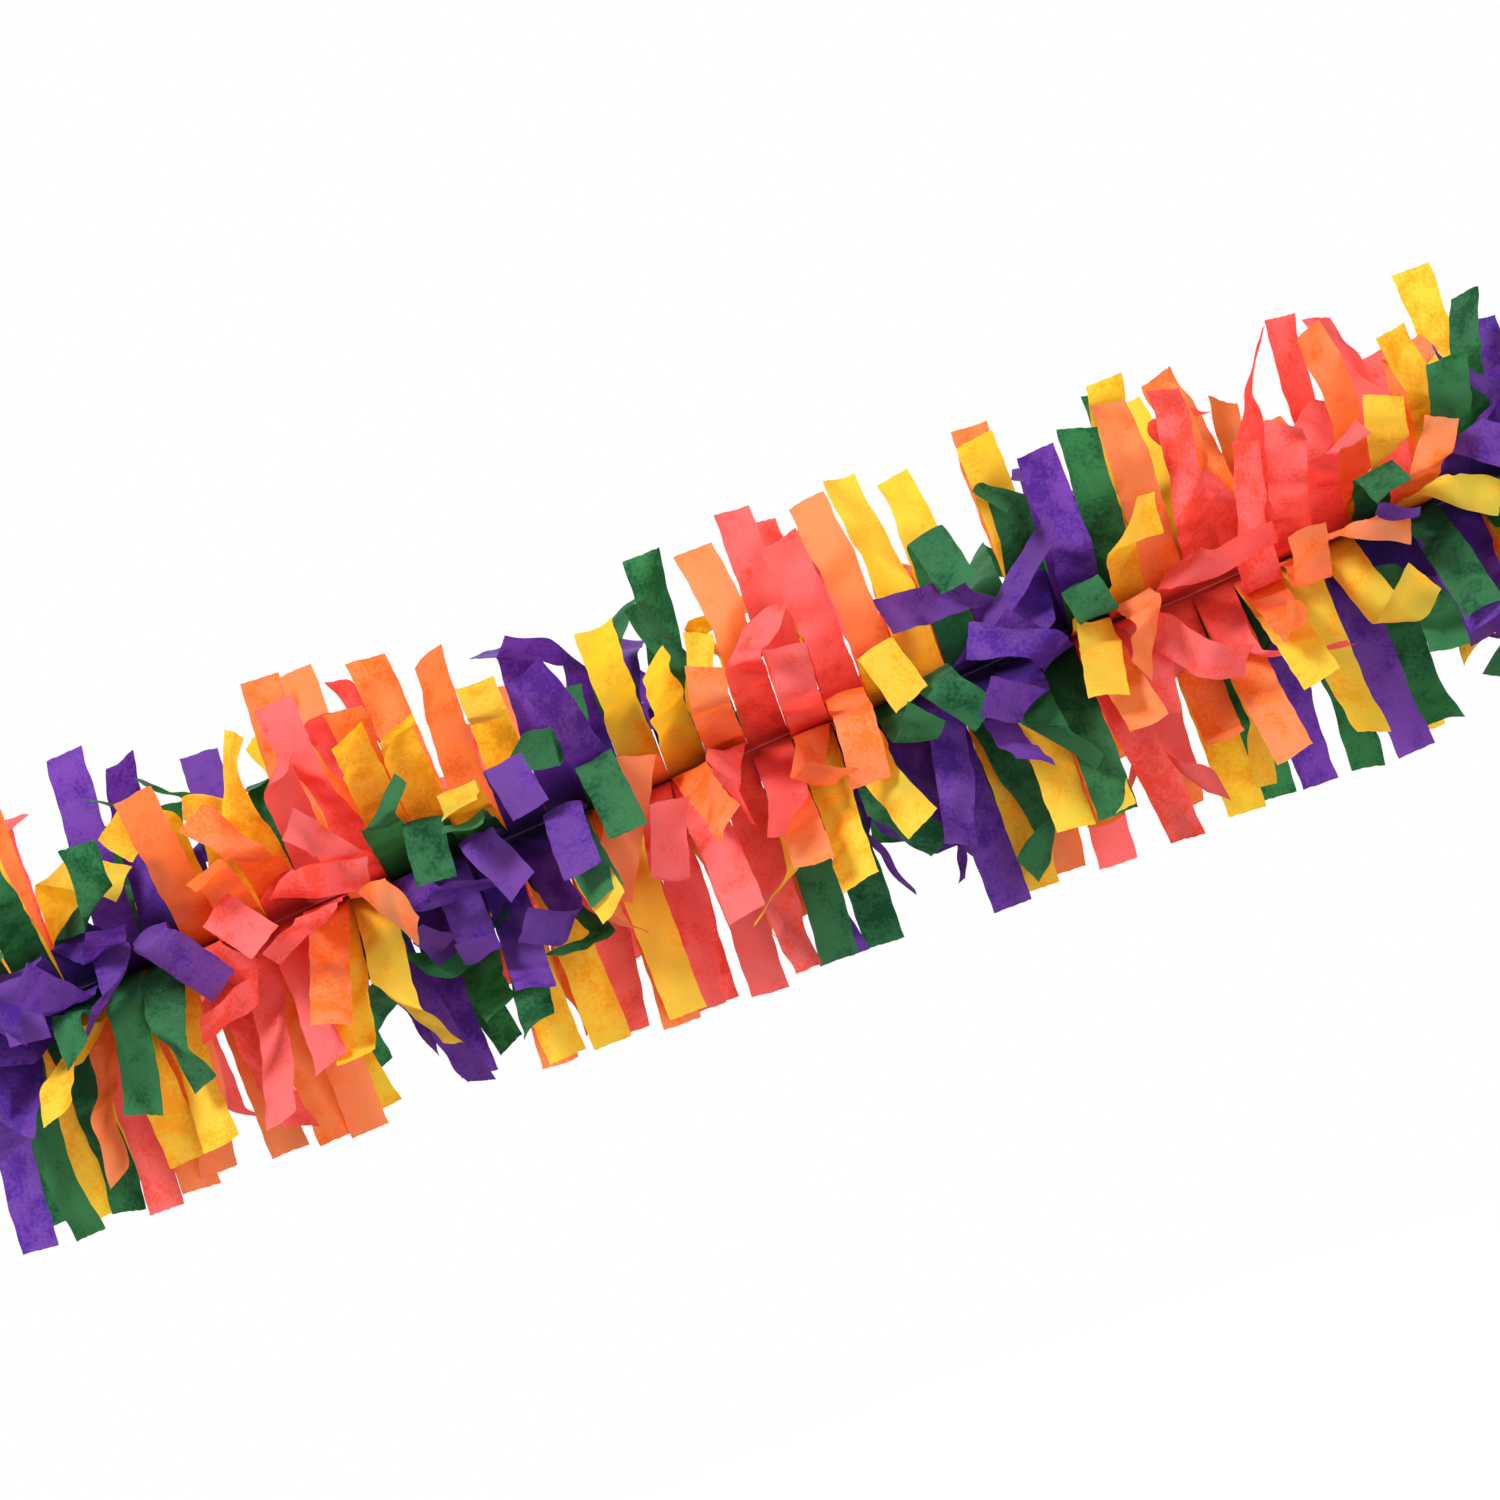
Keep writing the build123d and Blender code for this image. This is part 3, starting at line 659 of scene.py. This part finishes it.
# The middle surface of a folded tab as rows of points, its folds rounded
def roundedFolds(lines, rng):
    across = np.linspace(0, 1, paperMesh["columnsPerTab"] + 1)[:, None, None]
    corners = lines[:, 0] * (1 - across) + lines[:, 1] * across
    runs = np.diff(corners, axis=1)
    lengths = np.linalg.norm(runs, axis=2)
    ways = runs / lengths[..., None]
    reached = np.concatenate((np.zeros((len(corners), 1)), lengths.cumsum(1)), axis=1)
    places = np.linspace(0, 1, paperMesh["rowsPerTab"] + 1) * reached[:, -1:]
    points = np.zeros((*places.shape, 3))
    for k in range(len(lines) - 1):
        inside = places >= reached[:, k, None] - tiny
        past = (places - reached[:, k, None])[..., None]
        points[inside] = (corners[:, k, None] + past * ways[:, k, None])[inside]
    for k in range(1, len(lines) - 1):
        room = paperMesh["creaseRoom"] * np.minimum(lengths[:, k - 1], lengths[:, k])
        reach = np.minimum(rng.uniform(*paperMesh["creaseRange"]), room)[:, None]
        t = (places - reached[:, k, None]) / reach / 2 + 0.5
        before = (reach * (1 - t) ** 2)[..., None] * ways[:, k - 1, None]
        after = (reach * t**2)[..., None] * ways[:, k, None]
        curve = corners[:, k, None] - before + after
        near = (t > 0) & (t < 1)
        points[near] = curve[near]
    return points.transpose(1, 0, 2), places.T


# Soft tissue: crumples, a bow from edge to edge, wandering edges and a ragged cut
def crumpled(points, places, rng):
    rows, columns = places.shape
    along, across = np.gradient(points, axis=0), np.gradient(points, axis=1)
    along /= np.linalg.norm(along, axis=2, keepdims=True)
    across /= np.linalg.norm(across, axis=2, keepdims=True)
    normal = np.cross(across, along)
    q = np.linspace(-1, 1, columns)[None, :]
    side = q * fringe["tabPitch"] / 2
    push = np.zeros_like(places)
    for wave in range(paperMesh["crumpleWaves"]):
        size = rng.uniform(*paperMesh["crumpleSizes"])
        heading, phase = rng.uniform(0, math.pi), rng.uniform(0, 2 * math.pi)
        turn = 2 * math.pi / size * (places * math.cos(heading) + side * math.sin(heading)) + phase
        push += paperMesh["crumpleHeight"] * size / paperMesh["crumpleSizes"][1] * np.sin(turn)
    depth, size = rng.uniform(-1, 1), rng.uniform(*paperMesh["cuppingSizes"])
    bow = depth * np.sin(places / size + rng.uniform(*paperMesh["slowPhase"]))
    push += paperMesh["cupping"] * bow * (q**2 - paperMesh["cuppingLevel"])
    wander = sum(
        np.sin(places / size + rng.uniform(*paperMesh["slowPhase"])) * paperMesh["edgeWander"]
        for size in paperMesh["wanderSizes"]
    )
    shift = wander * np.abs(q) ** 3 * rng.choice((-1, 1))  # mostly at the edges
    reached = (places / places.max()) ** 2
    push += rng.uniform(*paperMesh["swayRange"]) * reached
    curled = np.clip(1 - (places.max() - places) / paperMesh["curlLength"], 0, 1) ** 2
    push += rng.uniform(*paperMesh["curlRange"]) * curled
    shift += rng.uniform(*paperMesh["leanRange"]) * reached
    full = np.clip(places / paperMesh["flatRoot"], 0, 1) ** 2
    points = points + (full * push)[..., None] * normal + (full * shift)[..., None] * across
    jag = np.array([rng.uniform(-1, 1) for column in range(columns)]) * paperMesh["raggedness"]
    points[-1] += jag[:, None] * along[-1]
    return points


# One ply as a single open sheet: a strip from tip to tip at each station, joined at the seam
def plyPaper(layout, ply):
    colour = fringe["plies"][ply]
    reach = paperMesh["paintedShadeReach"][colour]
    halves = {}
    for number, tab in enumerate(layout.tabs):
        if tab["ply"] == ply:
            rng = random.Random(f"crumples of tab {number}")
            points, places = roundedFolds(layout.shape(number, tab["pose"])[0], rng)
            tone = np.full_like(places, rng.uniform(*paperMesh["toneRange"]))
            # Painted shade along the tab: full at the seam, fading towards the tip.
            paintedSeamShade = paperMesh["paintedShadeAtSeam"] * np.exp(-places / reach)
            halves[tab["station"], tab["side"]] = crumpled(points, places, rng), tone, paintedSeamShade
    # tones holds each tab's random dye tone; layers gathers the painted seam shade of each strip.
    points, faces, tones, layers = [], [], [], []
    columns = paperMesh["columnsPerTab"] + 1
    for station in range(layout.stations):
        strip, tone, paintedSeamShade = (
            np.concatenate((lower[::-1], (lower[:1] + upper[:1]) / 2, upper))
            for lower, upper in zip(halves[station, -1], halves[station, 1])
        )
        rows, first = len(strip), sum(len(part) for part in points)
        points.append(strip.reshape(-1, 3))
        tones.append(tone.ravel())
        layers.append(paintedSeamShade.ravel())
        corner = first + np.arange((rows - 1) * columns).reshape(rows - 1, columns)[:, :-1].ravel()
        offsets = (0, 1, columns + 1, columns)
        faces.append(np.stack([corner + offset for offset in offsets], axis=1))
    mesh = bpy.data.meshes.new(colour + "Paper")
    places = np.concatenate(points) * millimetre
    mesh.from_pydata(places.tolist(), [], np.concatenate(faces).tolist())
    for name, values in (("tone", tones), ("paintedSeamShade", layers)):
        attribute = mesh.attributes.new(name, "FLOAT", "POINT")
        attribute.data.foreach_set("value", np.concatenate(values))
    joined = bmesh.new()
    joined.from_mesh(mesh)
    weld = paperMesh["weldDistance"] * millimetre
    bmesh.ops.remove_doubles(joined, verts=joined.verts, dist=weld)
    joined.to_mesh(mesh)
    joined.free()
    mesh.polygons.foreach_set("use_smooth", [True] * len(mesh.polygons))
    mesh.materials.append(tissueFinish(colour))
    sheet = bpy.data.objects.new(colour + "Paper", mesh)
    bpy.context.collection.objects.link(sheet)
    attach(sheet, "root")
    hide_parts(colour + "_ply")
    print("paper:", colour, len(mesh.vertices), "points")


seamThread = {  # the two sewing threads, in millimetres
    "stitch": 2.5,
    "dip": 0.12,  # of the thread into the paper at each stitch
    "twistLength": 1.4,  # of its two strands
    "strandDepth": 0.2,  # of the groove between the strands, as a share of the radius
    "ringSides": 10,
    "ringSpacing": 0.25,
    "fluff": 6.0,  # tufts in a millimetre
    "fluffDetail": 2.0,
    "fluffDepth": 0.05,
    "fluffStrength": 0.5,
    "roughness": 0.7,
    "sheen": 0.3,
    "dyes": {  # each with its shade
        "purple": ("#3A1C6C", "#24104A"),
        "coral": ("#A83028", "#7E1C16"),
    },
}


def threadFinish(colour):
    finish = Finish(bpy.data.materials.new(colour + "Thread"))
    fluff = finish.noise(millimetre / seamThread["fluff"], seamThread["fluffDetail"])
    depth = seamThread["fluffDepth"] * millimetre
    relief = finish.relief(fluff, depth, seamThread["fluffStrength"])
    pale, shade = (dye(code) for code in seamThread["dyes"][colour])
    colours = finish.node("Mix", {"data_type": "RGBA"}, {0: fluff, 6: pale, 7: shade}, output=2)
    strands = finish.node(
        "BsdfPrincipled",
        {},
        {
            "Base Color": colours,
            "Roughness": seamThread["roughness"],
            "Sheen Weight": seamThread["sheen"],
            "Normal": relief,
        },
    )
    return finish.done(strands)


def sewnThread(layout, side, node, colour):
    radius = fringe["threadDiameter"] / 2
    outer = plyOffset(0) + fringe["paperThickness"] / 2 + fringe["threadClearance"] + radius
    length = layout.stations * fringe["tabPitch"]
    rings = round(length / seamThread["ringSpacing"])
    sides = seamThread["ringSides"]
    points = []
    for ring in range(rings + 1):
        x = length * ring / rings
        dip = seamThread["dip"] * math.cos(math.pi * x / seamThread["stitch"]) ** 8  # narrow
        centre = seamPoint(x, 0.0, side * (outer - dip))
        lay = 2 * math.pi * x / seamThread["twistLength"]
        for k in range(sides):
            turn = 2 * math.pi * k / sides
            groove = seamThread["strandDepth"] * (1 - abs(math.cos(turn - lay / 2)))
            points.append(centre + radius * (1 - groove) * direction(turn))
    faces = []
    for ring in range(rings):
        for k in range(sides):
            a, b = ring * sides + k, ring * sides + (k + 1) % sides
            faces.append((a, b, b + sides, a + sides))
    faces.append(tuple(range(sides)))
    faces.append(tuple(reversed(range(rings * sides, (rings + 1) * sides))))
    mesh = bpy.data.meshes.new(node)
    mesh.from_pydata((np.array(points) * millimetre).tolist(), [], faces)
    mesh.polygons.foreach_set("use_smooth", [True] * len(mesh.polygons))
    mesh.materials.append(threadFinish(colour))
    thread = bpy.data.objects.new(node.replace("_thread", "Thread"), mesh)
    bpy.context.collection.objects.link(thread)
    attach(thread, "root")
    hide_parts(node)


studio = {  # places in metres
    "lens": 100.0,
    "sensorWidth": 36.0,
    "frameWidth": 0.4415,  # that the camera takes in at the seam
    "roll": 19.8,  # degrees, by which the garland climbs to the right
    "floorHeight": -0.4,
    "floorColour": (0.5, 0.5, 0.5, 1.0),
    "floorLift": 0.4,  # light of its own that the camera sees, so that the floor is white
    "floorFade": 1.5,  # from the garland to where the floor is plain white
    "floorReach": 6.0,
    "skyLight": 0.15,
    "keyPlace": (-0.55, -1.1, 1.25),
    "keySize": 0.5,
    "keyPower": 42.0,
    "fillPlace": (0.8, -1.4, 0.1),
    "fillSize": 1.0,
    "fillPower": 16.0,
    "backPlace": (0.3, 1.2, 0.9),
    "backSize": 1.0,
    "backPower": 24.0,
}


def setCamera():
    lens = bpy.data.cameras.new("photoView")
    lens.lens, lens.sensor_width = studio["lens"], studio["sensorWidth"]
    camera = bpy.data.objects.new("photoView", lens)
    bpy.context.collection.objects.link(camera)
    away = studio["frameWidth"] * studio["lens"] / lens.sensor_width
    camera.location = (fringe["garlandLength"] / 2 * millimetre, -away, 0.0)
    camera.rotation_mode = "QUATERNION"
    level = Vector((0.0, 1.0, 0.0)).to_track_quat("-Z", "Y")
    camera.rotation_quaternion = level @ Quaternion((0.0, 0.0, 1.0), -math.radians(studio["roll"]))
    bpy.context.scene.camera = camera


def setLamp(name):
    light = bpy.data.lights.new(name + "Lamp", "AREA")
    light.size, light.energy = studio[name + "Size"], studio[name + "Power"]
    lamp = bpy.data.objects.new(name + "Lamp", light)
    bpy.context.collection.objects.link(lamp)
    middle = Vector((fringe["garlandLength"] / 2 * millimetre, 0.0, 0.0))
    lamp.location = studio[name + "Place"]
    lamp.rotation_mode = "QUATERNION"
    lamp.rotation_quaternion = (middle - lamp.location).to_track_quat("-Z", "Y")


# 1 for what the camera sees, straight or by way of gloss or glass, and 0 for scattered light
def seenRays(finish):
    camera, glossy, through, scattered = (
        finish.node("LightPath", output=f"Is {kind} Ray")
        for kind in ("Camera", "Glossy", "Transmission", "Diffuse")
    )
    return finish.node("Clamp", {}, {"Value": camera + (glossy + through) * (1 - scattered)})


def setStage():
    white = (1.0, 1.0, 1.0, 1.0)
    sky = Finish(bpy.data.worlds.new("studio"))
    lighting = sky.node("Background", {}, {"Color": white, "Strength": studio["skyLight"]})
    backdrop = sky.node("Background", {}, {"Color": white, "Strength": 1.0})
    mixed = sky.node("MixShader", {}, {0: seenRays(sky), 1: lighting, 2: backdrop})
    bpy.context.scene.world = sky.done(mixed, "OutputWorld")
    finish = Finish(bpy.data.materials.new("paleFloor"))
    matt = finish.node("BsdfDiffuse", {}, {"Color": studio["floorColour"]})
    lift = finish.node("Emission", {}, {"Color": white, "Strength": studio["floorLift"]})
    near = finish.node("AddShader", {}, {0: matt, 1: lift})
    far = finish.node("Emission", {}, {"Color": white, "Strength": 1.0})
    middle = (fringe["garlandLength"] / 2 * millimetre, 0.0, studio["floorHeight"])
    place = finish.node("TexCoord", output="Object")
    away = finish.node(
        "VectorMath", {"operation": "DISTANCE"}, {0: place, 1: middle}, output="Value"
    )
    faded = finish.node("Clamp", {}, {"Value": away * (1 / studio["floorFade"])})
    shown = finish.node("MixShader", {}, {0: faded, 1: near, 2: far})
    floorPaint = finish.node("MixShader", {}, {0: seenRays(finish), 1: matt, 2: shown})
    mesh = bpy.data.meshes.new("floor")
    reach, z = studio["floorReach"], studio["floorHeight"]
    corners = [(-reach, -reach, z), (reach, -reach, z), (reach, reach, z), (-reach, reach, z)]
    mesh.from_pydata(corners, [], [(0, 1, 2, 3)])
    mesh.materials.append(finish.done(floorPaint))
    floor = bpy.data.objects.new("floor", mesh)
    bpy.context.collection.objects.link(floor)


setCamera()
layout = FringeLayout()
foldedTabs = sum(sum(tab["pose"]["shares"]) > 0 for tab in layout.tabs)
print("layout:", foldedTabs, "of", len(layout.tabs), "tabs folded")
for ply in range(len(fringe["plies"])):
    plyPaper(layout, ply)
sewnThread(layout, 1, "needle_thread", "purple")
sewnThread(layout, -1, "bobbin_thread", "coral")
print("threads sewn")
for lampName in ("key", "fill", "back"):
    setLamp(lampName)
setStage()
bpy.context.scene.view_settings.view_transform = "Standard"
print("stage set")
